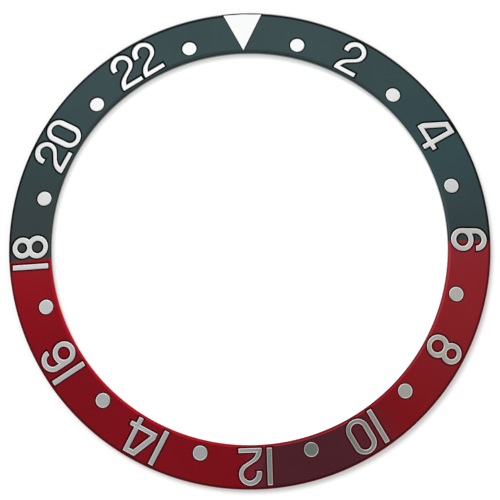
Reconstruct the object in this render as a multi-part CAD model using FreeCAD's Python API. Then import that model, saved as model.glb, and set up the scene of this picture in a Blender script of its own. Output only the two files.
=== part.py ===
import FreeCAD, Part
import math
import os

# Bezel insert of a travel watch: a conical aluminium ring with a 24-hour scale
# whose markings are engraved pockets filled with silver lacquer.
# Millimetres. The origin is the centre of the seat plane, +Z points out through
# the face and +Y points to the 24-hour triangle. Hours run clockwise seen from +Z.

# Ring
outer_radius = 18.9         # rim that presses into the bezel ring
ring_width = 3.4            # rim to the opening around the crystal
face_slope = 15.0           # degrees, fall of the face towards the rim
rim_height = 0.56           # seat plane to the face, measured at the rim
snap_bevel_width = 0.15     # bevel under the rim that leads it into the bezel ring
snap_bevel_height = 0.15
seat_land_width = 0.5       # flat annulus that rests on the bezel ring
lip_width = 0.2             # sloping lip around the opening, seen from above
lip_drop = 0.14

# Markings. Each is engraved square to the face, in the flat plane that touches the
# cone along its hour line, and its lengths are measured down that plane from the lip.
pocket_depth = 0.13         # engraving below the plane
fill_drop = 0.035           # top of the lacquer below the plane
foot_margin = 0.03          # lip to the feet of the numerals and the triangle's tip
numeral_rim_margin = 0.28   # rim to the tops of the numerals
triangle_rim_margin = 0.1   # rim to the base of the triangle, in radius
triangle_width = 3.0
dot_diameter = 1.12
dot_setback = 0.87          # lip to the centres of the dots
dot_sides = 16              # at this size its flats are about 0.01 deep
hours_on_scale = 24
cut_overrun = 0.3           # how far a cutter starts above the face

# Numerals, as shares of their height. Points run from the foot line and the
# middle of the digit: one point is a straight run, two are an arc and its end.
stem_share = 0.15
round_width_share = 0.612
four_width_share = 0.776
digit_gap_share = 0.056
one_bearing_share = 0.03    # margin before a leading one, counted when a number is centred
gap_after_one_shares = {"0": 0.129, "2": 0.117, "4": 0.1, "6": 0.129, "8": 0.129}

four_shares = [
    [(-0.093, 1.0)], [(0.254, 1.0)], [(0.254, 0.318)], [(0.388, 0.318)],
    [(0.388, 0.182)], [(0.254, 0.182)], [(0.254, 0.0)], [(0.113, 0.0)],
    [(0.113, 0.182)], [(-0.388, 0.182)], [(-0.388, 0.358)], [(-0.093, 1.0)],
]
four_counter_shares = [
    [(-0.23, 0.318)], [(0.113, 0.318)], [(0.113, 0.851)],
    [(0.012, 0.851)], [(-0.23, 0.318)],
]
two_shares = [
    [(-0.295, 0.606)],
    [(-0.21, 0.905), (0.01, 1.0)],
    [(0.307, 0.692), (0.164, 0.428)],
    [(-0.007, 0.321)],
    [(-0.096, 0.24), (-0.153, 0.134)],
    [(0.304, 0.134)],
    [(0.304, 0.0)],
    [(-0.307, 0.0)],
    [(-0.265, 0.226), (-0.149, 0.36)],
    [(0.072, 0.5)],
    [(0.149, 0.579), (0.176, 0.682)],
    [(0.126, 0.803), (0.01, 0.853)],
    [(-0.116, 0.771), (-0.147, 0.606)],
    [(-0.295, 0.606)],
]
six_shares = [
    [(0.305, 0.682)],
    [(0.215, 0.908), (0.0, 1.0)],
    [(-0.215, 0.908), (-0.305, 0.684)],
    [(-0.305, 0.318)],
    [(-0.215, 0.093), (0.0, 0.0)],
    [(0.215, 0.093), (0.305, 0.318)],
    [(0.153, 0.594), (-0.152, 0.597)],
    [(-0.152, 0.688)],
    [(-0.107, 0.799), (0.0, 0.845)],
    [(0.107, 0.799), (0.152, 0.682)],
    [(0.305, 0.682)],
]
# Round parts of the digits: centre above the foot line, and radius.
eight_upper_shares = (0.715, 0.285)
eight_lower_shares = (0.307, 0.307)
eight_upper_counter_shares = (0.724, 0.131)
eight_lower_counter_shares = (0.295, 0.156)
six_counter_shares = (0.322, 0.163)
zero_radius_share = 0.312
zero_counter_radius_share = 0.158
zero_bar_share = 0.136

# Worked out from the sizes above
fall = math.radians(face_slope)
inner_radius = outer_radius - ring_width
seat_outer_radius = outer_radius - snap_bevel_width
seat_inner_radius = seat_outer_radius - seat_land_width
lip_radius = inner_radius + lip_width
face_width = (outer_radius - lip_radius) / math.cos(fall)
numeral_height = face_width - foot_margin - numeral_rim_margin


def face_height(radius):
    # Height of the conical face above the seat plane.
    return rim_height + (outer_radius - radius) * math.tan(fall)


def underside_height(radius):
    # The underside runs parallel to the face, up from the seat land.
    return (seat_inner_radius - radius) * math.tan(fall)


top_height = face_height(lip_radius)


def revolved(points):
    # Solid of revolution about Z from a closed outline of radius and height.
    corners = [FreeCAD.Vector(radius, 0, height) for radius, height in points]
    profile = Part.Face(Part.makePolygon(corners + corners[:1]))
    return profile.revolve(FreeCAD.Vector(0, 0, 0), FreeCAD.Vector(0, 0, 1), 360)


def blank_ring():
    # The turned ring before engraving, its section drawn once around.
    return revolved([
        (seat_inner_radius, 0),
        (seat_outer_radius, 0),
        (outer_radius, snap_bevel_height),
        (outer_radius, rim_height),
        (lip_radius, top_height),
        (inner_radius, top_height - lip_drop),
        (inner_radius, underside_height(inner_radius)),
    ])


def digit_point(share, middle):
    # Place of an outline point in the engraving plane, x along the rim, y outwards.
    across, up = share
    return FreeCAD.Vector(middle + across * numeral_height, foot_margin + up * numeral_height, 0)


def drawn_face(steps, middle):
    # Flat face inside an outline of straight runs and arcs.
    start = digit_point(steps[0][-1], middle)
    edges = []
    for step in steps[1:]:
        end = digit_point(step[-1], middle)
        if len(step) == 2:
            bend = digit_point(step[0], middle)
            edges.append(Part.Arc(start, bend, end).toShape())
        else:
            edges.append(Part.LineSegment(start, end).toShape())
        start = end
    return Part.Face(Part.Wire(edges))


def disc(centre, radius):
    return Part.Face(Part.Wire(Part.makeCircle(radius, centre)))


def digit_disc(shares, middle):
    up, radius = shares
    return disc(digit_point((0, up), middle), radius * numeral_height)


def upright_bar(left, right, low, high):
    corners = [(left, low), (right, low), (right, high), (left, high), (left, low)]
    return Part.Face(Part.makePolygon([FreeCAD.Vector(x, y, 0) for x, y in corners]))


def stadium(middle, radius_share, bar_share):
    # Upright slot shape: two half circles joined by straight sides.
    low = bar_share + radius_share
    high = 1 - low
    steps = [
        [(radius_share, low)],
        [(radius_share, high)],
        [(0, high + radius_share), (-radius_share, high)],
        [(-radius_share, low)],
        [(0, bar_share), (radius_share, low)],
    ]
    return drawn_face(steps, middle)


def zero(middle):
    outer = stadium(middle, zero_radius_share, 0)
    return outer.cut(stadium(middle, zero_counter_radius_share, zero_bar_share))


def one(middle):
    half = stem_share * numeral_height / 2
    return upright_bar(middle - half, middle + half, foot_margin, foot_margin + numeral_height)


def two(middle):
    return drawn_face(two_shares, middle)


def four(middle):
    return drawn_face(four_shares, middle).cut(drawn_face(four_counter_shares, middle))


def six(middle):
    return drawn_face(six_shares, middle).cut(digit_disc(six_counter_shares, middle))


def eight(middle):
    rings = digit_disc(eight_upper_shares, middle).fuse(digit_disc(eight_lower_shares, middle))
    upper = digit_disc(eight_upper_counter_shares, middle)
    lower = digit_disc(eight_lower_counter_shares, middle)
    return rings.removeSplitter().cut(upper).cut(lower)


digits = {
    "0": (zero, round_width_share),
    "1": (one, stem_share),
    "2": (two, round_width_share),
    "4": (four, four_width_share),
    "6": (six, round_width_share),
    "8": (eight, round_width_share),
}


def gap_between(digit, following):
    share = gap_after_one_shares[following] if digit == "1" else digit_gap_share
    return share * numeral_height


def number_faces(number):
    # Outlines of a number, centred on its hour line.
    text = str(number)
    widths = [digits[digit][1] * numeral_height for digit in text]
    gaps = [gap_between(digit, following) for digit, following in zip(text, text[1:])] + [0]
    bearing = one_bearing_share * numeral_height if text[0] == "1" else 0
    left = (bearing - sum(widths) - sum(gaps)) / 2
    faces = []
    for digit, width, gap in zip(text, widths, gaps):
        draw = digits[digit][0]
        faces.append(draw(left + width / 2))
        left += width + gap
    return faces


def distance_down_face(across, radius):
    # Where a point of the engraving plane lies, beside the hour line, at a radius.
    return (math.sqrt(radius ** 2 - across ** 2) - lip_radius) / math.cos(fall)


def triangle_faces():
    # Straight flanks from the tip, and a base that runs along the rim.
    half = triangle_width / 2
    base_radius = outer_radius - triangle_rim_margin
    corner = distance_down_face(half, base_radius)
    tip = FreeCAD.Vector(0, foot_margin, 0)
    left = FreeCAD.Vector(-half, corner, 0)
    right = FreeCAD.Vector(half, corner, 0)
    crown = FreeCAD.Vector(0, distance_down_face(0, base_radius), 0)
    base = Part.Arc(left, crown, right).toShape()
    flanks = [Part.LineSegment(right, tip).toShape(), Part.LineSegment(tip, left).toShape()]
    return [Part.Face(Part.Wire([base] + flanks))]


def dot_faces():
    # A disc of many short sides, one of them towards the rim.
    corners = []
    for side in range(dot_sides):
        angle = 2 * math.pi * (side + 0.5) / dot_sides
        across = math.sin(angle) * dot_diameter / 2
        corners.append(FreeCAD.Vector(across, dot_setback + math.cos(angle) * dot_diameter / 2, 0))
    return [Part.Face(Part.makePolygon(corners + corners[:1]))]


def engraving_place(hour):
    # The plane that touches the face along an hour line, from the edge of the lip.
    tilt = FreeCAD.Rotation(FreeCAD.Vector(1, 0, 0), -face_slope)
    turn = FreeCAD.Rotation(FreeCAD.Vector(0, 0, 1), -360 * hour / hours_on_scale)
    at_lip = FreeCAD.Placement(FreeCAD.Vector(0, lip_radius, top_height), tilt)
    return FreeCAD.Placement(FreeCAD.Vector(0, 0, 0), turn).multiply(at_lip)


def prism(face, low, high, hour):
    # Upright body over an outline between two heights above its engraving plane.
    body = face.extrude(FreeCAD.Vector(0, 0, high - low))
    body.translate(FreeCAD.Vector(0, 0, low))
    body.Placement = engraving_place(hour).multiply(body.Placement)
    return body


def marking_outlines():
    # Every marking of the scale, by hour: the triangle, a number on each even hour
    # and a dot on each odd one.
    marks = [("hour_%d_triangle" % hours_on_scale, 0, triangle_faces())]
    for hour in range(1, hours_on_scale):
        if hour % 2:
            marks.append(("hour_dot_%02d" % hour, hour, dot_faces()))
        else:
            marks.append(("numeral_%02d" % hour, hour, number_faces(hour)))
    return marks


def write(name, solids):
    shape = Part.makeCompound(solids) if len(solids) > 1 else solids[0]
    shape.exportStep("parts/%s.step" % name)
    print(name, "solids", len(solids), "volume %.4f" % shape.Volume)


def build():
    os.makedirs("parts", exist_ok=True)
    ring = blank_ring()
    for name, hour, faces in marking_outlines():
        for face in faces:
            ring = ring.cut(prism(face, -pocket_depth, cut_overrun, hour))
        write(name, [prism(face, -pocket_depth, -fill_drop, hour).Solids[0] for face in faces])
    write("insert_ring", ring.Solids)
    print("numeral height %.3f, total height %.3f" % (numeral_height, top_height))


build()
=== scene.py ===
# %% [markdown]
# # A two-colour bezel insert with a 24-hour scale
#
# The object is the thin ring that is pressed into the rotating bezel of a travel watch. It is turned from
# aluminium as a shallow cone, anodised in two colours, engraved, and its engraving is filled with silver
# lacquer. This lesson dresses the CAD model of that ring: the CAD part stays as the frame, and each visible
# piece is made again here with finer edges and with its real finish.

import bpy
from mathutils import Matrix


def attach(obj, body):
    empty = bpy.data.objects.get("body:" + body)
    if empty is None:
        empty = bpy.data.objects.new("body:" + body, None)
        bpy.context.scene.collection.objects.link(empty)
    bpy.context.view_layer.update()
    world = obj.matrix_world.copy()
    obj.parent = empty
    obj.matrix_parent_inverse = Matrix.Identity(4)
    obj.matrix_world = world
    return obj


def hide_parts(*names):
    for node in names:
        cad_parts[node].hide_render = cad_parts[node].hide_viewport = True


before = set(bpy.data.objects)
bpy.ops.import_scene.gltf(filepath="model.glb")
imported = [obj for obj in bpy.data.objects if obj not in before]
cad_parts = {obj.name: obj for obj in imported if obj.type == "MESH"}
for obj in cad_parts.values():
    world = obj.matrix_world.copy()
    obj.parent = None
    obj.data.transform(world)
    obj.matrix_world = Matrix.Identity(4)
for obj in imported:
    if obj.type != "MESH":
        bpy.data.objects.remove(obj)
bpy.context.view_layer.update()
print("CAD nodes:", len(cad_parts))

# %% [markdown]
# ## Working in millimetres
#
# The row frame is in metres, but a pocket edge is a few hundredths of a millimetre wide, and mesh tools work
# best on numbers near one. So every piece is drawn in millimetres, as on the workshop drawing, and its mesh is
# brought to metres as the last thing. The sizes here are those of the CAD drawing.

# %% Sizes of the ring, in millimetres
import math

import bmesh
import bpy
from mathutils import Matrix, Vector

MILLIMETRE = 0.001

outer_radius = 18.9
ring_width = 3.4
face_slope = math.radians(15)
rim_height = 0.56
snap_bevel = 0.15
seat_land_width = 0.5
lip_width = 0.2
lip_drop = 0.14

inner_radius = outer_radius - ring_width
lip_radius = inner_radius + lip_width
seat_outer_radius = outer_radius - snap_bevel
seat_inner_radius = seat_outer_radius - seat_land_width


def face_height(radius):
    """Height of the conical face above the seat plane."""
    return rim_height + (outer_radius - radius) * math.tan(face_slope)


top_height = face_height(lip_radius)
inner_under_height = (seat_inner_radius - inner_radius) * math.tan(face_slope)
print("lip radius %.2f, top height %.3f" % (lip_radius, top_height))

# %% [markdown]
# ## The camera first
#
# The photograph looks almost straight down on the face, with a long lens, from about 16 cm away. The view was
# found by fitting the rim, the opening and the twelve dots. The ring lies turned by a little under two degrees
# anticlockwise. Setting the camera before any piece is made means that each piece can be judged in the
# photograph's own view.

# %% Camera
lens_mm = 147.65
sensor_mm = 36
nearest_seen = 0.01
furthest_seen = 10
camera_distance = 161.1
camera_shift = (-0.037, 0.185)
pitch = math.radians(-8.34)
roll_aside = math.radians(-0.57)
ring_turn = math.radians(1.75)
silhouette_height = 0.36

view_turn = Matrix.Rotation(pitch, 3, "X") @ Matrix.Rotation(roll_aside, 3, "Y")
camera_turn = Matrix.Rotation(-ring_turn, 3, "Z") @ view_turn.transposed()
camera_place = camera_turn @ Vector((-camera_shift[0], -camera_shift[1], camera_distance))
camera_place.z += silhouette_height

camera = bpy.data.objects.new("camera", bpy.data.cameras.new("camera"))
camera.data.lens = lens_mm
camera.data.sensor_width = sensor_mm
camera.data.clip_start = nearest_seen
camera.data.clip_end = furthest_seen
camera.matrix_world = Matrix.Translation(camera_place * MILLIMETRE) @ camera_turn.to_4x4()
bpy.context.scene.collection.objects.link(camera)
bpy.context.scene.camera = camera
print("camera at", [round(x, 1) for x in camera_place], "mm")

# %% [markdown]
# ## Helpers for node trees
#
# Geometry Nodes and materials are both trees of nodes. One helper adds a node with its settings and values, and
# links what is given as a socket. Most nodes have one output that matters, and a second helper gives just that.

# %% Helpers for node trees


def add_node(tree, kind, inputs=None, **settings):
    """Adds a node. An input may be a number, a vector, or another node's output socket."""
    made = tree.nodes.new(kind)
    for name, value in settings.items():
        setattr(made, name, value)
    for key, value in (inputs or {}).items():
        if isinstance(value, bpy.types.NodeSocket):
            tree.links.new(value, made.inputs[key])
        else:
            made.inputs[key].default_value = value
    return made


def output_of(tree, kind, inputs, **settings):
    """The first output of a new node."""
    return add_node(tree, kind, inputs, **settings).outputs[0]


print("trees for Blender", bpy.app.version_string)

# %% [markdown]
# A geometry tree is run on a new, empty object: its inputs are set by the identifier of each socket, the result
# is turned into a plain mesh, and the modifier is removed. So each piece ends as an ordinary mesh.

# %% Make and run a geometry tree


def new_geometry_tree(name, inputs):
    """A geometry tree with named inputs. Each is given as its name and the kind of its socket."""
    tree = bpy.data.node_groups.new(name, "GeometryNodeTree")
    for label, kind in inputs:
        tree.interface.new_socket(label, in_out="INPUT", socket_type="NodeSocket" + kind)
    tree.interface.new_socket("Geometry", in_out="OUTPUT", socket_type="NodeSocketGeometry")
    return tree, tree.nodes.new("NodeGroupInput").outputs


def end_geometry_tree(tree, geometry, finish):
    """Every tree ends alike: instances made real, then the finish set."""
    real = output_of(tree, "GeometryNodeRealizeInstances", {"Geometry": geometry})
    coated = output_of(tree, "GeometryNodeSetMaterial", {"Geometry": real, "Material": finish})
    tree.links.new(coated, tree.nodes.new("NodeGroupOutput").inputs[0])


def plain_mesh(holder):
    """The mesh that an object shows, with its modifiers worked in."""
    graph = bpy.context.evaluated_depsgraph_get()
    return bpy.data.meshes.new_from_object(holder.evaluated_get(graph), depsgraph=graph)


def run_geometry_tree(name, tree, values):
    """A new object that holds what the tree makes from these values."""
    piece = bpy.data.objects.new(name, bpy.data.meshes.new(name))
    bpy.context.scene.collection.objects.link(piece)
    modifier = piece.modifiers.new("recipe", "NODES")
    modifier.node_group = tree
    for item in tree.interface.items_tree:
        if item.in_out == "INPUT":
            modifier[item.identifier] = values[item.name]
    mesh = plain_mesh(piece)
    piece.modifiers.remove(modifier)
    piece.data = mesh
    return piece


print("geometry trees so far:", len(bpy.data.node_groups))

# %% [markdown]
# ## Arithmetic in a material
#
# A pattern on a surface is arithmetic on the place of each point, such as how far it lies from the axis or past
# a line. Each helper here adds one step of it. The soft step makes the edge between two finishes, and the noise
# makes what is uneven.

# %% Arithmetic in a material


def math_node(tree, operation, first, second=0.0):
    """One step of arithmetic on numbers."""
    return output_of(tree, "ShaderNodeMath", {0: first, 1: second}, operation=operation)


def vector_node(tree, operation, first, second=(0, 0, 0)):
    """One step of arithmetic on vectors. A dot product and a length are numbers."""
    made = add_node(tree, "ShaderNodeVectorMath", {0: first, 1: second}, operation=operation)
    return made.outputs["Value" if operation in ("DOT_PRODUCT", "LENGTH") else "Vector"]


def soft_step(tree, value, start, end, height=1.0):
    """Rises smoothly from nought between two values, which may be given either way round."""
    reach = {"Value": value, "From Min": start, "From Max": end, "To Max": height}
    return output_of(tree, "ShaderNodeMapRange", reach, interpolation_type="SMOOTHSTEP")


def stretched(tree, value, low, high, start=0.0, end=1.0):
    """Brings what lies between start and end to lie between low and high."""
    reach = {"Value": value, "From Min": start, "From Max": end, "To Min": low, "To Max": high}
    return output_of(tree, "ShaderNodeMapRange", reach)


def mixed(tree, amount, first, second, blend="MIX"):
    """Two colours mixed by an amount."""
    colours = {0: amount, 6: first, 7: second}
    return add_node(tree, "ShaderNodeMix", colours, data_type="RGBA", blend_type=blend).outputs[2]


def noise(tree, vector, scale, detail, roughness):
    """A cloudy noise from nought to one, the same on every run."""
    settings = {"Vector": vector, "Scale": scale, "Detail": detail, "Roughness": roughness}
    return output_of(tree, "ShaderNodeTexNoise", settings)


print("steps:", [step.__name__ for step in (math_node, vector_node, soft_step, stretched, mixed, noise)])

# %% [markdown]
# ## Anodised aluminium in two colours
#
# Anodising grows a thin glassy film on the metal and soaks it with dye, so the colour is the colour of a metal
# and not of a paint: the light goes through the dye and back from the aluminium. A metallic shader with a
# deep base colour does this. The two dyes meet along two lines from the centre, near 6 and 18 hours, and
# the line is a little soft because the second dye creeps under the mask. The mask is worked out from Object
# coordinates: how far a point lies past each of the two lines. A faint veil of the red dye reaches some
# millimetres further, and the red is a little thinner just inside the line, as the photograph shows.

# %% The two dyes and the line between them
night_starts = math.radians(90.3)
night_ends = math.radians(268.2)
dye_creep = 0.07 * MILLIMETRE
veil_reach = 8.0 * MILLIMETRE
veil_strength = 0.032
thin_reach = 4.0 * MILLIMETRE
thin_strength = 0.08
day_dye = (0.040, 0.070, 0.074, 1)
night_dye = (0.55, 0.004, 0.018, 1)
deep_night_dye = (0.44, 0.003, 0.014, 1)


def night_mask(tree, place):
    """Nearly one in the night half and nearly zero in the day half, with a narrow soft line between."""
    past_start = (math.cos(night_starts), -math.sin(night_starts), 0)
    before_end = (-math.cos(night_ends), math.sin(night_ends), 0)
    first = vector_node(tree, "DOT_PRODUCT", place, past_start)
    last = vector_node(tree, "DOT_PRODUCT", place, before_end)
    depth = math_node(tree, "MINIMUM", first, last)
    line = soft_step(tree, depth, -dye_creep, dye_creep)
    thinned = math_node(tree, "SUBTRACT", line, soft_step(tree, depth, thin_reach, 0.0, thin_strength))
    return math_node(tree, "MAXIMUM", thinned, soft_step(tree, depth, -veil_reach, 0.0, veil_strength))


print("night half from %.1f to %.1f degrees" % (math.degrees(night_starts), math.degrees(night_ends)))

# %% [markdown]
# The face was turned on a lathe before it was dyed, so it has very fine rings. A noise that is drawn out
# along the ring and squeezed across it gives them: its vector is the direction from the centre, which goes
# all the way round without a seam, and the radius times a large number.

# %% Turned grain
grain_across = 9000
grain_along = 3.0


def heading_of(tree, place):
    """The direction from the axis to a point."""
    return vector_node(tree, "NORMALIZE", vector_node(tree, "MULTIPLY", place, (1, 1, 0)))


def flat_radius(tree, place):
    """Distance from the axis."""
    return vector_node(tree, "LENGTH", vector_node(tree, "MULTIPLY", place, (1, 1, 0)))


def turned_grain(tree, place, radius):
    """Fine rings about the axis, from nought to one."""
    along = vector_node(tree, "MULTIPLY", heading_of(tree, place), (grain_along,) * 3)
    rings = math_node(tree, "MULTIPLY", radius, grain_across)
    across = output_of(tree, "ShaderNodeCombineXYZ", {"Z": rings})
    return noise(tree, vector_node(tree, "ADD", along, across), scale=1.0, detail=2.0, roughness=0.6)


print("a ring of grain every %.2f mm" % (1 / grain_across / MILLIMETRE))

# %% [markdown]
# A thin dark line of painted shade runs along the rim and along the opening's edge. Only from 12 to 18 hours,
# on the side that faces the light, is the opening's edge left bright red. Beyond the 24-hour mark the rim's
# shaded line lies a little further in.

# %% Painted shade along the two edges
lip_shade_band = (15.58 * MILLIMETRE, 15.53 * MILLIMETRE)
rim_shade_band = (18.67 * MILLIMETRE, 18.77 * MILLIMETRE)
rim_shade_shift = 0.08 * MILLIMETRE
lit_lip_side = (-0.3, 0.2)
day_edge_shade = (0.002, 0.004, 0.004, 1)
night_edge_shade = (0.16, 0.003, 0.006, 1)
to_hour_6, to_hour_18, to_hour_24 = (1, 0, 0), (-1, 0, 0), (0, 1, 0)


def towards(tree, place, direction, start, end):
    """One on the side of the ring that lies towards a direction and zero over the rest."""
    share = vector_node(tree, "DOT_PRODUCT", heading_of(tree, place), direction)
    return soft_step(tree, share, start, end)


def edge_lines(tree, place, radius, beyond, mask):
    """Painted shade: one on the rim and on most of the opening's edge, and zero over the face between them."""
    shift = math_node(tree, "MULTIPLY", beyond, rim_shade_shift)
    rim = soft_step(tree, math_node(tree, "ADD", radius, shift), *rim_shade_band)
    bright = math_node(tree, "MULTIPLY", mask, towards(tree, place, to_hour_18, *lit_lip_side))
    dark = math_node(tree, "SUBTRACT", 1.0, bright)
    lip = math_node(tree, "MULTIPLY", soft_step(tree, radius, *lip_shade_band), dark)
    return math_node(tree, "MAXIMUM", lip, rim)


print("rim line from %.2f mm outwards" % (rim_shade_band[0] / MILLIMETRE))

# %% [markdown]
# Beyond the 24-hour mark a painted highlight lies on the round of the rim, pale as bare metal, but only on the
# round: the wall under it keeps its dye.
# The face has a faint painted sheen towards 6 hours, and between 10 and 12 hours a painted tint makes the red
# more purple: a painted reflection that adds to the mirrored dark hood there.

# %% Painted rim highlight, sheen and hood reflection
rim_highlight_radius = (18.80 * MILLIMETRE, 18.86 * MILLIMETRE)
rim_highlight_height = (0.46 * MILLIMETRE, 0.50 * MILLIMETRE)
rim_highlight_share = 0.8
highlight_metal = (0.78, 0.79, 0.80, 1)
sheen_side = (0.5, 1.0)
painted_sheen_colour = (0.003, 0.024, 0.028, 1)
hood_reflection_radius = (15.66 * MILLIMETRE, 15.74 * MILLIMETRE)
hood_reflection_end_at_12 = (-0.07, 0.035)
hood_reflection_end_at_10 = (0.66, 0.42)
hood_reflection_tint = (0.0, 0.07, 0.115, 1)


def worn_rim(tree, place, radius, beyond):
    """Painted highlight: above nought on the round of the rim, beyond the 24-hour mark."""
    highlit = math_node(tree, "MULTIPLY", soft_step(tree, radius, *rim_highlight_radius, rim_highlight_share), beyond)
    height = add_node(tree, "ShaderNodeSeparateXYZ", {0: place}).outputs["Z"]
    return math_node(tree, "MULTIPLY", highlit, soft_step(tree, height, *rim_highlight_height))


def haze(tree, place, mask):
    """Where the hood's reflection is painted: one between 10 and 12 hours, with a sharp end at 12 and a soft
    one at 10.
    """
    before_12 = towards(tree, place, to_hour_6, *hood_reflection_end_at_12)
    after_10 = towards(tree, place, to_hour_6, *hood_reflection_end_at_10)
    return math_node(tree, "MULTIPLY", mask, math_node(tree, "MULTIPLY", before_12, after_10))


print("worn from %.2f mm up" % (rim_highlight_height[0] / MILLIMETRE))

# %% [markdown]
# Every finish starts from a Principled shader and from the place of each point on its own piece. A height that
# tilts the surface for the light stands for marks too fine to model.

# %% Start a finish


def new_finish(name):
    """A material, its tree, its shader and the place of each point on the piece."""
    material = bpy.data.materials.new(name)
    material.use_nodes = True
    tree = material.node_tree
    place = tree.nodes.new("ShaderNodeTexCoord").outputs["Object"]
    return material, tree, tree.nodes["Principled BSDF"], place


def bumped(tree, shader, height, strength, depth):
    """Lets a height tilt the surface for the light."""
    bump = {"Height": height, "Strength": strength, "Distance": depth}
    tree.links.new(output_of(tree, "ShaderNodeBump", bump), shader.inputs["Normal"])


print("materials so far:", len(bpy.data.materials))

# %% [markdown]
# All of this, with the painted shade, highlight, sheen and reflection, goes into one finish. The red dye is a
# little deeper towards 18 hours. A rough coat stands for the glassy film over the dye. The specular tint is
# turned down, because dyed metal stays dark where the eye meets it at a glancing angle.

# %% The ring's finish
beyond_side = (0.6, 1.0)
deep_dye_side = (0.4, 1.0)
patch_scale = 260.0
patch_levels = (0.9, 1.1)
anodised_roughness = (0.08, 0.16)
grain_depth = 0.002 * MILLIMETRE
grain_strength = 0.12
film_weight = 0.24
film_roughness = 0.6

anodised_face, tree, shader, place = new_finish("anodised_two_colour")
radius = flat_radius(tree, place)
grain = turned_grain(tree, place, radius)
mask = night_mask(tree, place)
beyond = towards(tree, place, to_hour_24, *beyond_side)
night = mixed(tree, towards(tree, place, to_hour_18, *deep_dye_side), night_dye, deep_night_dye)
dye = mixed(tree, mask, day_dye, night)
patches = noise(tree, place, patch_scale, detail=3.0, roughness=0.5)
patches = stretched(tree, patches, *patch_levels)
dye = mixed(tree, 1.0, dye, patches, "MULTIPLY")
# A painted sheen towards 6 hours: a faint blue-green added to the dye.
dye = mixed(tree, towards(tree, place, to_hour_6, *sheen_side), dye, painted_sheen_colour, "ADD")
# A painted reflection tint between 10 and 12 hours, where the dark hood is mirrored.
hood_reflection_amount = math_node(tree, "MULTIPLY", haze(tree, place, mask), soft_step(tree, radius, *hood_reflection_radius))
dye = mixed(tree, hood_reflection_amount, dye, hood_reflection_tint, "ADD")
# Painted shade along the rim and along the opening's edge.
edge_shade_colour = mixed(tree, mask, day_edge_shade, night_edge_shade)
dye = mixed(tree, edge_lines(tree, place, radius, beyond, mask), dye, edge_shade_colour)
# A painted highlight on the round of the rim beyond the 24-hour mark.
dye = mixed(tree, worn_rim(tree, place, radius, beyond), dye, highlight_metal)
tree.links.new(dye, shader.inputs["Base Color"])
tree.links.new(stretched(tree, grain, *anodised_roughness), shader.inputs["Roughness"])
bumped(tree, shader, grain, grain_strength, grain_depth)
shader.inputs["Metallic"].default_value = 1.0
shader.inputs["Specular Tint"].default_value = (0.5, 0.5, 0.5, 1)
shader.inputs["Coat Weight"].default_value = film_weight
shader.inputs["Coat Roughness"].default_value = film_roughness
print("finish", anodised_face.name, "with", len(tree.nodes), "nodes")

# %% [markdown]
# ## The wall of a pocket
#
# The wall of an engraved pocket is rough from the cutter, and hardly any light comes back out of so narrow a
# step. Its finish is matt and nearly black, with some of the dye of the half that it stands in: painted shade
# that stands in for the shadow in the narrow groove. A mirror-like wall would catch the room and lose the fine
# dark outline that the markings have.

# %% Painted shade on the engraved walls
day_wall_shade = (0.003, 0.004, 0.004, 1)
night_wall_shade = (0.07, 0.002, 0.004, 1)
shaded_pocket_wall, tree, shader, place = new_finish("shaded_pocket_wall")
tree.links.new(mixed(tree, night_mask(tree, place), day_wall_shade, night_wall_shade), shader.inputs["Base Color"])
shader.inputs["Roughness"].default_value = 0.9
shader.inputs["Specular IOR Level"].default_value = 0.05
print("finish", shaded_pocket_wall.name, "with", len(tree.nodes), "nodes")

# %% [markdown]
# ## Silver lacquer
#
# The fills look white where they face the bright side of the room and grey where they face the dim side, so
# they are not white paint. They are a lacquer of very fine aluminium flakes, which is a rough metal. The
# flakes show only as a faint grain, so a small noise moves the roughness and the colour a little. Where a fill
# slopes down to its wall the film is thin and its white binder shows, so a second finish, a little less
# metallic, is made for the sloping shoulders. It gives the pale border that the markings have, except between
# 10 and 12 hours, where the photograph shows hardly any.

# %% Silver lacquer
edge_metallic = 0.82
flake_scale = 22000.0
flake_contrast = (0.3, 0.7)
flake_colours = ((0.88, 0.89, 0.89, 1), (0.97, 0.98, 0.98, 1))
lacquer_roughness = (0.14, 0.22)
flake_depth = 0.004 * MILLIMETRE
flake_strength = 0.1


def lacquer(name):
    """Fine aluminium flakes in a clear binder."""
    material, tree, shader, place = new_finish(name)
    flakes = noise(tree, place, flake_scale, detail=2.0, roughness=0.7)
    contrast = stretched(tree, flakes, 0.0, 1.0, *flake_contrast)
    tree.links.new(mixed(tree, contrast, *flake_colours), shader.inputs["Base Color"])
    tree.links.new(stretched(tree, flakes, *lacquer_roughness), shader.inputs["Roughness"])
    bumped(tree, shader, flakes, flake_strength, flake_depth)
    shader.inputs["Metallic"].default_value = 1.0
    print("finish", name, "with", len(tree.nodes), "nodes")
    return material


silver_lacquer = lacquer("flake_silver_lacquer")
lacquer_edge = lacquer("flake_lacquer_edge")
tree = lacquer_edge.node_tree
place = tree.nodes.new("ShaderNodeTexCoord").outputs["Object"]
# Where the hood's reflection is painted on the face, the shoulders are fully metallic, so they lose their pale
# border there.
covered = math_node(tree, "MAXIMUM", haze(tree, place, night_mask(tree, place)), edge_metallic)
tree.links.new(covered, tree.nodes["Principled BSDF"].inputs["Metallic"])

# %% [markdown]
# ## The blank ring
#
# The ring is a section drawn once and turned round the axis, as on the lathe. It could be a Screw or a Spin,
# but a geometry tree keeps the section editable: each corner is an input that holds its radius, its height and
# the radius of its edge break. Fillet Curve rounds the corners, and Curve to Mesh sends the section round a
# circle. Real edges are never sharp, and the small rounds catch a thin line of light.

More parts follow.
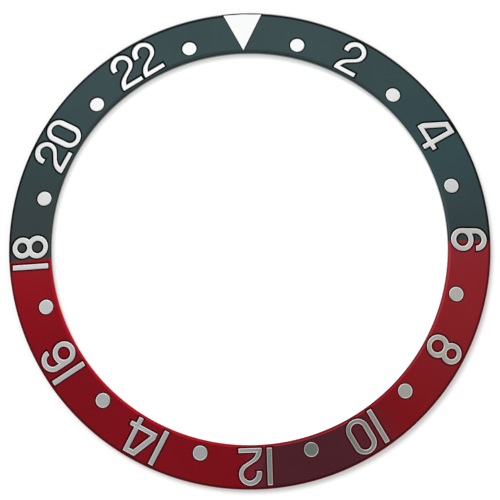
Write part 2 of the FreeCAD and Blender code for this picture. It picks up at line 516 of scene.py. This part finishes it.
# %% A tree that turns a section
section_corners = {
    "Seat inner corner": (seat_inner_radius, 0, 0.02),
    "Seat outer corner": (seat_outer_radius, 0, 0.02),
    "Snap bevel top": (outer_radius, snap_bevel, 0.04),
    "Rim edge": (outer_radius, rim_height, 0.09),
    "Lip edge": (lip_radius, top_height, 0.04),
    "Opening edge": (inner_radius, top_height - lip_drop, 0.04),
    "Opening lower edge": (inner_radius, inner_under_height, 0.04),
}
guide_radius = 1.0
lathe, turning = new_geometry_tree(
    "turned ring",
    [(label, "Vector") for label in section_corners]
    + [("Fillet steps", "Int"), ("Steps around", "Int"), ("Finish", "Material")],
)
pick = add_node(lathe, "GeometryNodeIndexSwitch", data_type="VECTOR")
for extra in range(len(section_corners) - 2):
    pick.index_switch_items.new()
lathe.links.new(lathe.nodes.new("GeometryNodeInputIndex").outputs[0], pick.inputs["Index"])
for number, label in enumerate(section_corners):
    lathe.links.new(turning[label], pick.inputs[number + 1])
corner = add_node(lathe, "ShaderNodeSeparateXYZ", {0: pick.outputs[0]}).outputs
# The sweep hangs the section from the guide circle, with its height pointing down.
out = math_node(lathe, "SUBTRACT", corner["X"], guide_radius)
up = math_node(lathe, "MULTIPLY", corner["Y"], -1.0)
spot = output_of(lathe, "ShaderNodeCombineXYZ", {"X": out, "Y": up})
spots = output_of(lathe, "GeometryNodePoints", {"Count": len(section_corners), "Position": spot})
noted = {"Geometry": spots, "Name": "edge_break", "Value": corner["Z"]}
noted = output_of(lathe, "GeometryNodeStoreNamedAttribute", noted)
drawn = output_of(lathe, "GeometryNodePointsToCurves", {0: noted})
closed = output_of(lathe, "GeometryNodeSetSplineCyclic", {0: drawn, "Cyclic": True})
edge_break = output_of(lathe, "GeometryNodeInputNamedAttribute", {"Name": "edge_break"})
rounded = {"Curve": closed, "Count": turning["Fillet steps"], "Radius": edge_break}
rounded = output_of(lathe, "GeometryNodeFilletCurve", rounded, mode="POLY")
guide = {"Resolution": turning["Steps around"], "Radius": guide_radius}
guide = output_of(lathe, "GeometryNodeCurvePrimitiveCircle", guide)
swept = output_of(lathe, "GeometryNodeCurveToMesh", {0: guide, "Profile Curve": rounded})
end_geometry_tree(lathe, swept, turning["Finish"])
print("turning tree with", len(lathe.nodes), "nodes for", len(section_corners), "corners")

# %% [markdown]
# The tree is run once, with 720 steps round the ring. That is fine enough for the rim to look round in the
# photograph's view, and far below the number of faces at which the export would thin the mesh.

# %% The blank ring
fillet_steps = 4
steps_around = 720
ring = run_geometry_tree("ring_two_colour", lathe, {
    **section_corners, "Fillet steps": fillet_steps, "Steps around": steps_around, "Finish": anodised_face,
})
print("blank ring:", len(ring.data.polygons), "faces", [round(x, 3) for x in ring.dimensions], "mm")

# %% [markdown]
# ## Outlines of the markings
#
# The engraver works in a flat plane that touches the cone along an hour line. In that plane x runs along the
# rim and y runs outwards from the lip, and every digit is drawn as shares of its height. An outline step with
# one point is a straight run, and a step with two is an arc through the first point to the second. This is
# how a type drawing is given on paper, and it keeps the curves true however finely they are stepped. The room
# after a 1 is wider than after other digits, and how wide depends on the digit that follows, as measured in
# the photograph.

# %% Shares of the digits
foot_margin = 0.03
numeral_rim_margin = 0.28
face_width = (outer_radius - lip_radius) / math.cos(face_slope)
numeral_height = face_width - foot_margin - numeral_rim_margin
arc_step = math.radians(5)
stem_share = 0.15
digit_gap_share = 0.056
one_bearing_share = 0.03
gap_after_one_shares = {"0": 0.129, "2": 0.117, "4": 0.1, "6": 0.129, "8": 0.129}
width_shares = {"0": 0.612, "1": stem_share, "2": 0.612, "4": 0.776, "6": 0.612, "8": 0.612}

one_steps = [
    [(-stem_share / 2, 0)], [(stem_share / 2, 0)], [(stem_share / 2, 1)],
    [(-stem_share / 2, 1)], [(-stem_share / 2, 0)],
]
two_steps = [
    [(-0.295, 0.606)],
    [(-0.21, 0.905), (0.01, 1.0)],
    [(0.307, 0.692), (0.164, 0.428)],
    [(-0.007, 0.321)],
    [(-0.096, 0.24), (-0.153, 0.134)],
    [(0.304, 0.134)],
    [(0.304, 0.0)],
    [(-0.307, 0.0)],
    [(-0.265, 0.226), (-0.149, 0.36)],
    [(0.072, 0.5)],
    [(0.149, 0.579), (0.176, 0.682)],
    [(0.126, 0.803), (0.01, 0.853)],
    [(-0.116, 0.771), (-0.147, 0.606)],
    [(-0.295, 0.606)],
]
four_steps = [
    [(-0.093, 1.0)], [(0.254, 1.0)], [(0.254, 0.318)], [(0.388, 0.318)],
    [(0.388, 0.182)], [(0.254, 0.182)], [(0.254, 0.0)], [(0.113, 0.0)],
    [(0.113, 0.182)], [(-0.388, 0.182)], [(-0.388, 0.358)], [(-0.093, 1.0)],
]
four_counter_steps = [
    [(-0.23, 0.318)], [(0.113, 0.318)], [(0.113, 0.851)],
    [(0.012, 0.851)], [(-0.23, 0.318)],
]
six_steps = [
    [(0.305, 0.682)],
    [(0.215, 0.908), (0.0, 1.0)],
    [(-0.215, 0.908), (-0.305, 0.684)],
    [(-0.305, 0.318)],
    [(-0.215, 0.093), (0.0, 0.0)],
    [(0.215, 0.093), (0.305, 0.318)],
    [(0.153, 0.594), (-0.152, 0.597)],
    [(-0.152, 0.688)],
    [(-0.107, 0.799), (0.0, 0.845)],
    [(0.107, 0.799), (0.152, 0.682)],
    [(0.305, 0.682)],
]

print("digits drawn by hand:", len(one_steps), len(two_steps), len(four_steps), len(six_steps), "steps")

# %% [markdown]
# The 0 and the 8 are made of circles: a 0 is an upright slot with a slot in it, and an 8 is two circles, one on
# the other. So they are worked out from a few radii.

# %% Round digits


def circle_steps(height, radius):
    """A circle on the middle of a digit, as two half turns."""
    return [
        [(radius, height)],
        [(0, height + radius), (-radius, height)],
        [(0, height - radius), (radius, height)],
    ]


def slot_steps(radius, bar):
    """An upright slot: two half circles joined by straight sides."""
    low, high = bar + radius, 1 - bar - radius
    return [
        [(radius, low)], [(radius, high)], [(0, high + radius), (-radius, high)],
        [(-radius, low)], [(0, bar), (radius, low)],
    ]


def eight_steps(lower, upper):
    """Two circles, one on the other, with their common outline. Each is a height and a radius."""
    apart = upper[0] - lower[0]
    crossing = (apart ** 2 + lower[1] ** 2 - upper[1] ** 2) / (2 * apart)
    side = math.sqrt(lower[1] ** 2 - crossing ** 2)
    waist = lower[0] + crossing
    return [
        [(side, waist)],
        [(0, upper[0] + upper[1]), (-side, waist)],
        [(0, lower[0] - lower[1]), (side, waist)],
    ]


digit_outlines = {
    "0": [slot_steps(0.312, 0), slot_steps(0.158, 0.136)],
    "1": [one_steps],
    "2": [two_steps],
    "4": [four_steps, four_counter_steps],
    "6": [six_steps, circle_steps(0.322, 0.163)],
    "8": [
        eight_steps((0.307, 0.307), (0.715, 0.285)),
        circle_steps(0.295, 0.156), circle_steps(0.724, 0.131),
    ],
}
print("numeral height %.3f mm" % numeral_height)

# %% [markdown]
# An arc is stepped every five degrees here, finer than the eye can see at this size.

# %% From shares to points
def arc_points(start, bend, end):
    """Points along the circle through three points, without the first."""
    (ax, ay), (bx, by), (cx, cy) = start, bend, end
    scale = 2 * (ax * (by - cy) + bx * (cy - ay) + cx * (ay - by))
    squares = (ax * ax + ay * ay, bx * bx + by * by, cx * cx + cy * cy)
    x = (squares[0] * (by - cy) + squares[1] * (cy - ay) + squares[2] * (ay - by)) / scale
    y = (squares[0] * (cx - bx) + squares[1] * (ax - cx) + squares[2] * (bx - ax)) / scale
    first = math.atan2(ay - y, ax - x)
    turn_bend = (math.atan2(by - y, bx - x) - first) % math.tau
    turn = (math.atan2(cy - y, cx - x) - first) % math.tau
    if turn_bend > turn:
        turn -= math.tau
    radius = math.hypot(ax - x, ay - y)
    count = max(2, math.ceil(abs(turn) / arc_step))
    angles = [first + turn * step / count for step in range(1, count + 1)]
    return [(x + radius * math.cos(angle), y + radius * math.sin(angle)) for angle in angles]


def outline_points(steps, place_point):
    """A closed outline as points. Each share goes through place_point first."""
    points = [place_point(steps[0][-1])]
    for step in steps[1:]:
        ends = [place_point(share) for share in step]
        points += arc_points(points[-1], ends[0], ends[1]) if len(ends) == 2 else ends
    return points[:-1]


print("points in a 6:", len(outline_points(six_steps, lambda share: share)))

# %% [markdown]
# A number is its digits set side by side, centred on its hour line.

# %% Numbers


def number_loops(number):
    """The outlines of a number and of the holes in it."""
    text = str(number)
    widths = [width_shares[digit] * numeral_height for digit in text]
    gaps = [
        (gap_after_one_shares[following] if digit == "1" else digit_gap_share) * numeral_height
        for digit, following in zip(text, text[1:])
    ] + [0]
    bearing = one_bearing_share * numeral_height if text[0] == "1" else 0
    left = (bearing - sum(widths) - sum(gaps)) / 2
    loops = []
    for digit, width, gap in zip(text, widths, gaps):
        middle = left + width / 2
        for steps in digit_outlines[digit]:
            loops.append(outline_points(steps, lambda share: (
                middle + share[0] * numeral_height, foot_margin + share[1] * numeral_height
            )))
        left += width + gap
    return loops


print("points in the number 20:", [len(loop) for loop in number_loops(20)])

# %% [markdown]
# The triangle stands on the rim with its tip at the lip, and its base follows the rim in an arc. The dots look
# round from straight above, so on the slope they are a trace longer than wide. The CAD model has sixteen sides
# for each, to save faces, and here they are smooth.

# %% Triangle and dot
triangle_rim_margin = 0.1
triangle_width = 3.0
triangle_tip = -0.02
dot_diameter = 1.12
dot_setback = 0.885
dot_steps = 72


def distance_down_face(across, radius):
    """Where a point of the engraving plane lies, beside the hour line, at a radius."""
    return (math.sqrt(radius ** 2 - across ** 2) - lip_radius) / math.cos(face_slope)


half_base = triangle_width / 2
base_radius = outer_radius - triangle_rim_margin
base_corner = distance_down_face(half_base, base_radius)
triangle_steps = [
    [(-half_base, base_corner)],
    [(0, distance_down_face(0, base_radius)), (half_base, base_corner)],
    [(0, triangle_tip)],
    [(-half_base, base_corner)],
]
triangle_loops = [outline_points(triangle_steps, lambda point: point)]
half_width = dot_diameter / 2
half_length = half_width / math.cos(face_slope)
dot_angles = [math.tau * step / dot_steps for step in range(dot_steps)]
dot_loops = [[
    (half_width * math.cos(angle), dot_setback + half_length * math.sin(angle)) for angle in dot_angles
]]
print("triangle corner %.3f mm down the face, dot %.3f mm long" % (base_corner, 2 * half_length))

# %% [markdown]
# ## Two solids from each outline
#
# Each marking needs a cutter and a fill. Meshes that come from a curve or from a Boolean hold points that
# nearly coincide. A weld merges them, so that every solid is closed.

# %% Weld a mesh
weld_distance = 0.0001


def weld(mesh):
    """Merges points that coincide, turns the faces outwards and counts the edges that stay open."""
    welded = bmesh.new()
    welded.from_mesh(mesh)
    bmesh.ops.remove_doubles(welded, verts=welded.verts, dist=weld_distance)
    bmesh.ops.dissolve_degenerate(welded, edges=welded.edges, dist=weld_distance)
    bmesh.ops.recalc_face_normals(welded, faces=welded.faces)
    open_edges = sum(not edge.is_manifold for edge in welded.edges)
    welded.to_mesh(mesh)
    welded.free()
    return open_edges


print("weld distance", weld_distance, "mm")

# %% [markdown]
# The solid comes from a flat Blender curve, which fills itself, holes and all, and gets its thickness and its
# bevel from the curve's own settings. A bevel is as high as it is wide, so the solid is then squeezed or drawn
# out to its real height.

# %% A solid from flat outlines


def solid_from_loops(name, loops, low, high, bevel, inset, finish):
    """A mesh between two heights over the engraving plane, with its edges bevelled."""
    curve = bpy.data.curves.new(name, "CURVE")
    curve.dimensions = "2D"
    curve.fill_mode = "BOTH"
    for loop in loops:
        spline = curve.splines.new("POLY")
        spline.points.add(len(loop) - 1)
        spline.points.foreach_set("co", [value for x, y in loop for value in (x, y, 0, 1)])
        spline.use_cyclic_u = True
    width, height = bevel
    draw_out = height / width
    curve.bevel_depth = width
    curve.bevel_resolution = 0
    curve.offset = -inset
    curve.extrude = (high - low) / 2 / draw_out - width
    curve.materials.append(finish)
    holder = bpy.data.objects.new(name, curve)
    bpy.context.scene.collection.objects.link(holder)
    mesh = plain_mesh(holder)
    bpy.data.objects.remove(holder)
    drawn_out = Matrix.Diagonal((1, 1, draw_out, 1))
    mesh.transform(Matrix.Translation((0, 0, (low + high) / 2)) @ drawn_out)
    open_edges = weld(mesh)
    print(name, "with", len(mesh.polygons), "faces, open edges:", open_edges)
    piece = bpy.data.objects.new(name, mesh)
    bpy.context.scene.collection.objects.link(piece)
    return piece


print("curves so far:", len(bpy.data.curves))

# %% [markdown]
# The cutter's bevel makes the slanted wall that an engraving cutter leaves, wider at the mouth. The fill's
# bevel makes the sloping shoulder where the lacquer draws back from the wall as it dries. The fill is drawn
# smaller than the mouth of its pocket, so that a narrow groove stays open round it: seen from above, this
# groove with its painted-shade wall is the dark outline of each marking. The mouths of the numbers and the dots
# are cut a trace wider than drawn, for the same groove.

# %% Cutter and fill
pocket_depth = 0.13
cut_overrun = 0.3
wall_draft = 0.095
fill_drop = 0.03
shoulder_width = 0.055
shoulder_height = 0.014
fill_gap = 0.035
number_mouth = 0.014
dot_mouth = 0.008


def cutter_from(loops, wider=0):
    """Stands in the metal from the pocket's floor to above the face, with slanted walls."""
    bevel = (wall_draft, pocket_depth)
    return solid_from_loops(
        "cutter", loops, -pocket_depth, cut_overrun + pocket_depth, bevel, -wider, shaded_pocket_wall
    )


def fill_from(loops, gap=fill_gap, shoulder=(shoulder_width, shoulder_height)):
    """Lies on the pocket's floor, with sloping shoulders."""
    return solid_from_loops(
        "fill", loops, -pocket_depth, -fill_drop, shoulder, shoulder[0] + gap, silver_lacquer
    )


print("groove round a number %.3f mm wide" % (fill_gap + number_mouth))

# %% [markdown]
# ## Laying the markings round the ring
#
# Each marking lies in the plane that touches the cone on its hour line. One tree does this for all of them: it
# puts points round the lip, sets a copy of the body on each, tilts it by the slope of the face and turns it to
# its hour. A number is laid once, and the dot is laid twelve times, two hours apart.

# %% A tree that lays bodies round the scale
hour_angle = math.tau / 24
dial, scale = new_geometry_tree("round the scale", [
    ("Body", "Object"), ("Count", "Int"), ("First hour", "Float"), ("Hours apart", "Float"),
    ("Lip radius", "Float"), ("Lip height", "Float"), ("Face slope", "Float"), ("Units", "Float"),
    ("Finish", "Material"),
])
index = dial.nodes.new("GeometryNodeInputIndex").outputs[0]
hours_on = math_node(dial, "MULTIPLY", index, scale["Hours apart"])
hour = math_node(dial, "ADD", hours_on, scale["First hour"])
clockwise = math_node(dial, "MULTIPLY", hour, hour_angle)
anticlockwise = math_node(dial, "MULTIPLY", clockwise, -1.0)
east, north = [
    math_node(dial, "MULTIPLY", math_node(dial, wave, clockwise), scale["Lip radius"])
    for wave in ("SINE", "COSINE")
]
seat = output_of(dial, "ShaderNodeCombineXYZ", {"X": east, "Y": north, "Z": scale["Lip height"]})
seats = output_of(dial, "GeometryNodePoints", {"Count": scale["Count"], "Position": seat})
tilt = math_node(dial, "MULTIPLY", scale["Face slope"], -1.0)
attitude = output_of(dial, "ShaderNodeCombineXYZ", {"X": tilt, "Z": anticlockwise})
turned = output_of(dial, "FunctionNodeEulerToRotation", {0: attitude})
body = add_node(dial, "GeometryNodeObjectInfo", {"Object": scale["Body"]}, transform_space="ORIGINAL")
laid = output_of(dial, "GeometryNodeInstanceOnPoints", {
    "Points": seats, "Instance": body.outputs["Geometry"], "Rotation": turned,
})
laid = output_of(dial, "GeometryNodeRealizeInstances", {0: laid})
print("laying part of the tree:", len(dial.nodes), "nodes")

# %% [markdown]
# The second half of the tree wraps the flat marking onto the cone: each point drops by what the cone falls
# away from that plane beside the hour line. The CAD model leaves its markings flat, and the two are nowhere
# more than 0.03 mm apart. A last input scales the result, because cutters stay in millimetres while finished
# pieces go to metres.

# %% Wrap the bodies onto the cone
spot = dial.nodes.new("GeometryNodeInputPosition").outputs[0]
across, along = add_node(dial, "ShaderNodeSeparateXYZ", {0: spot}).outputs[:2]
heading = math_node(dial, "ARCTAN2", across, along)
hour_line = math_node(dial, "SNAP", math_node(dial, "ADD", heading, hour_angle / 2), hour_angle)
beside = math_node(dial, "SUBTRACT", heading, hour_line)
squares = [math_node(dial, "MULTIPLY", side, side) for side in (across, along)]
radius = math_node(dial, "SQRT", math_node(dial, "ADD", *squares))
down_line = math_node(dial, "MULTIPLY", radius, math_node(dial, "COSINE", beside))
steepness = math_node(dial, "TANGENT", scale["Face slope"])
drop = math_node(dial, "MULTIPLY", math_node(dial, "SUBTRACT", down_line, radius), steepness)
offset = output_of(dial, "ShaderNodeCombineXYZ", {"Z": drop})
wrapped = output_of(dial, "GeometryNodeSetPosition", {"Geometry": laid, "Offset": offset})
units = output_of(dial, "ShaderNodeCombineXYZ", {axis: scale["Units"] for axis in "XYZ"})
sized = output_of(dial, "GeometryNodeTransform", {"Geometry": wrapped, "Scale": units})
end_geometry_tree(dial, sized, scale["Finish"])


def lay_round(
    name, body_piece, first_hour, count=1, hours_apart=2, units_here=MILLIMETRE, finish=silver_lacquer
):
    """Lays a body on its hour or hours, and clears the loose one away."""
    piece = run_geometry_tree(name, dial, {
        "Body": body_piece, "Count": count, "First hour": float(first_hour),
        "Hours apart": float(hours_apart), "Lip radius": lip_radius, "Lip height": top_height,
        "Face slope": face_slope, "Units": float(units_here), "Finish": finish,
    })
    bpy.data.objects.remove(body_piece)
    return piece


print("whole tree:", len(dial.nodes), "nodes")

# %% [markdown]
# ## Engraving
#
# All the cutters are joined and taken from the ring in one Boolean. The cutter's material goes with its faces,
# so the walls of the pockets get their own near-black finish of painted shade. The bevel lets the outline of a
# 2 cross itself in its tight inner curve, so the Boolean is told to sort out bodies that do.

# %% Join the cutters
markings = [("triangle_24_fill", "hour_24_triangle", 0, triangle_loops)]
for number in range(2, 24, 2):
    markings.append(("number_%02d_fill" % number, "numeral_%02d" % number, number, number_loops(number)))

cuts = [(loops, number_mouth if hour_mark else 0, hour_mark, 1) for name, node, hour_mark, loops in markings]
cuts.append((dot_loops, dot_mouth, 1, 12))
cutters = [
    lay_round("cutter", cutter_from(loops, mouth), hour_mark, count, units_here=1, finish=shaded_pocket_wall)
    for loops, mouth, hour_mark, count in cuts
]
joined = bmesh.new()
for cutter in cutters:
    joined.from_mesh(cutter.data)
    bpy.data.objects.remove(cutter)
tool = bpy.data.objects.new("cutters", bpy.data.meshes.new("cutters"))
joined.to_mesh(tool.data)
joined.free()
tool.data.materials.append(shaded_pocket_wall)
bpy.context.scene.collection.objects.link(tool)
print(len(cutters), "cutters with", len(tool.data.polygons), "faces")

# %% [markdown]
# The cut goes through a Boolean modifier, and the result is made a plain mesh like every other piece. Where
# the cut passes close by an older edge it leaves points that nearly coincide, so these are merged after it.

# %% Take the cutters from the ring
cut = ring.modifiers.new("engrave", "BOOLEAN")
cut.operation = "DIFFERENCE"
cut.solver = "EXACT"
cut.use_self = True
cut.material_mode = "TRANSFER"
cut.object = tool
engraved = plain_mesh(ring)
ring.modifiers.remove(cut)
ring.data = engraved
open_edges = weld(ring.data)
bpy.data.objects.remove(tool)
print("engraved ring:", len(ring.data.polygons), "faces, open edges:", open_edges)
print("its finishes:", [material.name for material in ring.data.materials])

# %% [markdown]
# ## Shading and units
#
# The Boolean leaves long thin faces between the pockets, and averaged normals would make them shimmer. So each
# face that lies along the cone gets the cone's own normal, worked out and not averaged.

# %% The cone's own normal
cone_tolerance = math.radians(3)


def cone_normal(point):
    """Which way the conical face looks at a point."""
    away = math.hypot(point.x, point.y)
    sideways = math.sin(face_slope) / away
    return Vector((point.x * sideways, point.y * sideways, math.cos(face_slope)))


def shade_as_cone(mesh):
    """Gives the true normal of the cone to every face that lies along it."""
    normals = [corner.vector.copy() for corner in mesh.corner_normals]
    for polygon in mesh.polygons:
        if polygon.normal.dot(cone_normal(polygon.center)) > math.cos(cone_tolerance):
            for corner in polygon.loop_indices:
                normals[corner] = cone_normal(mesh.vertices[mesh.loops[corner].vertex_index].co)
    mesh.normals_split_custom_set(normals)


print("normal of the cone at 3 hours:", [round(x, 3) for x in cone_normal(Vector((lip_radius, 0, 0)))])

# %% [markdown]
# The flat runs stay crisp and the rounds stay smooth: edges sharper than an angle are marked, and the normals
# are weighted by the area of the faces, so that a small round doesn't pull at the large face beside it. Then
# the piece is set on its body, and the nodes of the CAD frame that it stands for are hidden.

# %% Shade a piece and set it on its body
wall_tilt = math.radians(60)
ring_sharp_from = math.radians(35)
fill_sharp_from = math.radians(12)


def set_off_shoulders(mesh):
    """Gives the sloping shoulders of a fill the finish of the lacquer's edge."""
    mesh.materials.append(lacquer_edge)
    for polygon in mesh.polygons:
        upright = polygon.normal.dot(cone_normal(polygon.center))
        if math.cos(wall_tilt) < upright < math.cos(cone_tolerance):
            polygon.material_index = len(mesh.materials) - 1


def finish_piece(piece, sharp_from, slot_name, nodes_behind):
    """Smooth shading, weighted normals, and the calls that tie a piece to the CAD frame."""
    piece.data.shade_smooth()
    piece.data.set_sharp_from_angle(angle=sharp_from)
    weigh = piece.modifiers.new("weigh", "WEIGHTED_NORMAL")
    weigh.keep_sharp = True
    mesh = plain_mesh(piece)
    piece.modifiers.remove(weigh)
    if slot_name == "silver_lacquer":
        set_off_shoulders(mesh)
    shade_as_cone(mesh)
    piece.data = mesh
    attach(piece, "root")
    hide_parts(*nodes_behind)
    print(piece.name, len(mesh.polygons), "faces for", len(nodes_behind), "CAD node(s)")


ring.data.transform(Matrix.Scale(MILLIMETRE, 4))
finish_piece(ring, ring_sharp_from, "anodised_ring", ["insert_ring"])

# %% [markdown]
# ## The fills
#
# Each number and the triangle is a piece of its own, as it is in the CAD model. The twelve dots are alike, so
# the tree lays them in one go and they are one mesh. In the photograph the dots have a narrower groove than
# the numbers, and the triangle has next to none, so both have a gap of their own. A gap below nought means
# that the fill fills its pocket to the slanted wall.

# %% Lay the fills
dot_gap = 0.005
triangle_gap = -0.01
triangle_shoulder = (0.02, 0.008)
for name, node, hour_mark, loops in markings:
    fill = fill_from(loops) if hour_mark else fill_from(loops, triangle_gap, triangle_shoulder)
    finish_piece(lay_round(name, fill, hour_mark), fill_sharp_from, "silver_lacquer", [node])
dots = lay_round("dots_fill", fill_from(dot_loops, dot_gap), 1, 12)
dot_nodes = ["hour_dot_%02d" % hour_mark for hour_mark in range(1, 24, 2)]
finish_piece(dots, fill_sharp_from, "silver_lacquer", dot_nodes)

# %% [markdown]
# ## The table and the light
#
# Some brightnesses were found at several places and run smoothly between them. A Color Ramp through such stops
# holds them, and its grey is then used as a number.

# %% A ramp through stops


def ramp(tree, value, stops, interpolation="CARDINAL"):
    """A grey that follows a value through stops of (value, grey)."""
    low, high = stops[0][0], stops[-1][0]
    made = add_node(tree, "ShaderNodeValToRGB", {0: stretched(tree, value, 0.0, 1.0, low, high)})
    made.color_ramp.interpolation = interpolation
    elements = made.color_ramp.elements
    for at, grey in stops[1:-1]:
        elements.new((at - low) / (high - low))
    for element, (at, grey) in zip(elements, stops):
        element.color = (grey, grey, grey, 1)
    return made.outputs[0]


# %% [markdown]
# The ring lies on a white sheet. The sheet is an ordinary pale surface that takes the light and the shadow,
# and for the camera and for reflections it is topped up with a little of its own light, so that the bare sheet
# reads as white while the shadow stays. The top-up is strong in the opening, as over a lit panel, fades
# towards the ring's inner wall and is weak outside, where the photograph has the wider shadow. Beside that
# wall it is slightly blue, like the light that fills the shadow there.

# %% White sheet
sheet_radius = 1.0
sheet_corners = 96
sheet_grey = (0.42, 0.42, 0.42, 1)
plain_glow = (1.0, 1.0, 1.0, 1)
blue_glow = (0.93, 1.0, 1.0, 1)
blue_from = (15.42 * MILLIMETRE, 15.54 * MILLIMETRE)
blue_until = (18.0 * MILLIMETRE, 16.0 * MILLIMETRE)
# Where this glow falls off beside the ring, the darker sheet is painted shade, on top of the shadow that the
# lamp casts.
glow_at_millimetres = [
    (15.0, 1.0), (15.2, 0.9), (15.3, 0.78), (15.38, 0.7), (15.46, 0.62), (15.54, 0.53), (15.66, 0.47),
    (15.8, 0.2), (17.5, 0.2), (18.6, 0.43),
]

bpy.ops.mesh.primitive_circle_add(vertices=sheet_corners, radius=sheet_radius, fill_type="NGON")
sheet = bpy.context.object
sheet.name = "white_sheet"
material = bpy.data.materials.new("white_sheet")
material.use_nodes = True
tree = material.node_tree
tree.nodes.clear()
path = tree.nodes.new("ShaderNodeLightPath").outputs
seen = math_node(tree, "MAXIMUM", path["Is Camera Ray"], path["Is Glossy Ray"])
seen = math_node(tree, "MAXIMUM", seen, path["Is Transmission Ray"])
middle = flat_radius(tree, tree.nodes.new("ShaderNodeTexCoord").outputs["Object"])
glow = ramp(tree, middle, [(at * MILLIMETRE, level) for at, level in glow_at_millimetres], "LINEAR")
strength = math_node(tree, "MULTIPLY", seen, glow)
blue = math_node(
    tree, "MULTIPLY", soft_step(tree, middle, *blue_from), soft_step(tree, middle, *blue_until)
)
colour = mixed(tree, blue, plain_glow, blue_glow)
glow = output_of(tree, "ShaderNodeEmission", {"Color": colour, "Strength": strength})
matt = output_of(tree, "ShaderNodeBsdfDiffuse", {"Color": sheet_grey})
both = output_of(tree, "ShaderNodeAddShader", {0: glow, 1: matt})
add_node(tree, "ShaderNodeOutputMaterial", {"Surface": both})
sheet.data.materials.append(material)
print("sheet of", sheet_radius, "m, grey", sheet_grey[0])

# %% [markdown]
# The room is a light tent that is open on the side beyond the 24-hour mark. Brushed and lacquered metal show
# the room as a soft gradient: white towards the open side and grey on the side of the camera. So the roof of
# the tent follows the angle to its open side. A paler wall runs round the horizon, dimmer in the corner that
# the numbers 20 and 22 mirror.

# %% Roof and wall of the light tent
open_side = Vector((-0.10, 0.62, 0.778)).normalized()
dim_corner = Vector((-0.53, 0.848, 0.0))
roof_by_open_side = [
    (-1.0, 0.43), (0.25, 0.343), (0.45, 0.333), (0.56, 0.39), (0.62, 0.43), (0.7, 0.525),
    (0.75, 0.645), (0.84, 0.72), (0.88, 0.81), (0.95, 0.97), (1.0, 0.985),
]
roof_starts = (0.25, 0.5)
wall_by_dim_corner = [
    (-1.0, 0.9), (-0.5, 0.78), (0.0, 0.82), (0.5, 0.72), (0.8, 0.55), (0.95, 0.38), (1.0, 0.36),
]
upper_wall_starts = (0.33, 0.47)
upper_wall = (0.8, 0.8, 0.8, 1)
wall_by_height = [
    (0.0, 1.0), (0.5, 1.0), (0.65, 0.75), (0.72, 0.6), (0.8, 0.35), (0.86, 0.15), (0.92, 0.0), (1.0, 0.0),
]

room = bpy.data.worlds.new("light_tent")
bpy.context.scene.world = room
room.use_nodes = True
tree = room.node_tree
tree.nodes.clear()
toward = tree.nodes.new("ShaderNodeTexCoord").outputs["Generated"]
east, north, height = add_node(tree, "ShaderNodeSeparateXYZ", {0: toward}).outputs
roof = ramp(tree, vector_node(tree, "DOT_PRODUCT", toward, open_side), roof_by_open_side)
roof = math_node(tree, "MULTIPLY", roof, soft_step(tree, height, *roof_starts))
wall = ramp(tree, vector_node(tree, "DOT_PRODUCT", toward, dim_corner), wall_by_dim_corner)
wall = mixed(tree, soft_step(tree, height, *upper_wall_starts), wall, upper_wall)
wall = math_node(tree, "MULTIPLY", wall, ramp(tree, height, wall_by_height))
light = math_node(tree, "MAXIMUM", roof, wall)
print("roof and wall:", len(tree.nodes), "nodes")

# %% [markdown]
# The light from the east is a little warm. Last comes a dark hood in the south. The ring mirrors it as the dim
# sector between 10 and 12 hours, with the sharp edge that the photograph shows beside the 12. To the camera
# itself the room is plain white.

# %% Warm side, dark hood and background
tent_strength = 1.05
warm_east, warm_north = (0.15, 0.4), (0.22, 0.0)
warm_light = (1.0, 0.925, 0.84, 1)
hood_west_edge, hood_east_edge = (-0.014, 0.002), (0.39, 0.27)
hood_north_edge, hood_lower_edge = (-0.2, -0.3), (0.74, 0.82)
hood_colour = (0.106, 0.134, 0.119, 1)

warm = math_node(tree, "MULTIPLY", soft_step(tree, east, *warm_east), soft_step(tree, north, *warm_north))
light = mixed(tree, warm, light, warm_light, "MULTIPLY")
hood = math_node(
    tree, "MULTIPLY", soft_step(tree, east, *hood_west_edge), soft_step(tree, east, *hood_east_edge)
)
hood = math_node(tree, "MULTIPLY", hood, soft_step(tree, north, *hood_north_edge))
hood = math_node(tree, "MULTIPLY", hood, soft_step(tree, height, *hood_lower_edge))
light = mixed(tree, hood, light, hood_colour)
path = tree.nodes.new("ShaderNodeLightPath").outputs
lit = mixed(tree, path["Is Camera Ray"], light, (1, 1, 1, 1))
background = output_of(tree, "ShaderNodeBackground", {"Color": lit, "Strength": tent_strength})
add_node(tree, "ShaderNodeOutputWorld", {"Surface": background})
print("light tent with", len(tree.nodes), "nodes")

# %% [markdown]
# A large lamp high on the upper left gives the short soft shadows beside the ring. It is kept out of the
# metal's reflections, as if a flag stood between them.

# %% Shadow lamp
lamp_clock = math.radians(320)
lamp_height = math.radians(55)
lamp_width = math.radians(30)
lamp_strength = 3.0
lamp = bpy.data.objects.new("shadow_lamp", bpy.data.lights.new("shadow_lamp", "SUN"))
lamp.data.angle = lamp_width
lamp.data.energy = lamp_strength
lamp_from = Vector((
    math.sin(lamp_clock) * math.cos(lamp_height),
    math.cos(lamp_clock) * math.cos(lamp_height),
    math.sin(lamp_height),
))
lamp.rotation_euler = lamp_from.to_track_quat("Z", "Y").to_euler()
lamp.visible_glossy = False
bpy.context.scene.collection.objects.link(lamp)
print("lamp from", [round(x, 2) for x in lamp_from])

# %% [markdown]
# ## Colours as written
#
# The Standard view leaves the colours as the materials give them.

# %% View
bpy.context.scene.view_settings.view_transform = "Standard"
print("view:", bpy.context.scene.view_settings.view_transform)
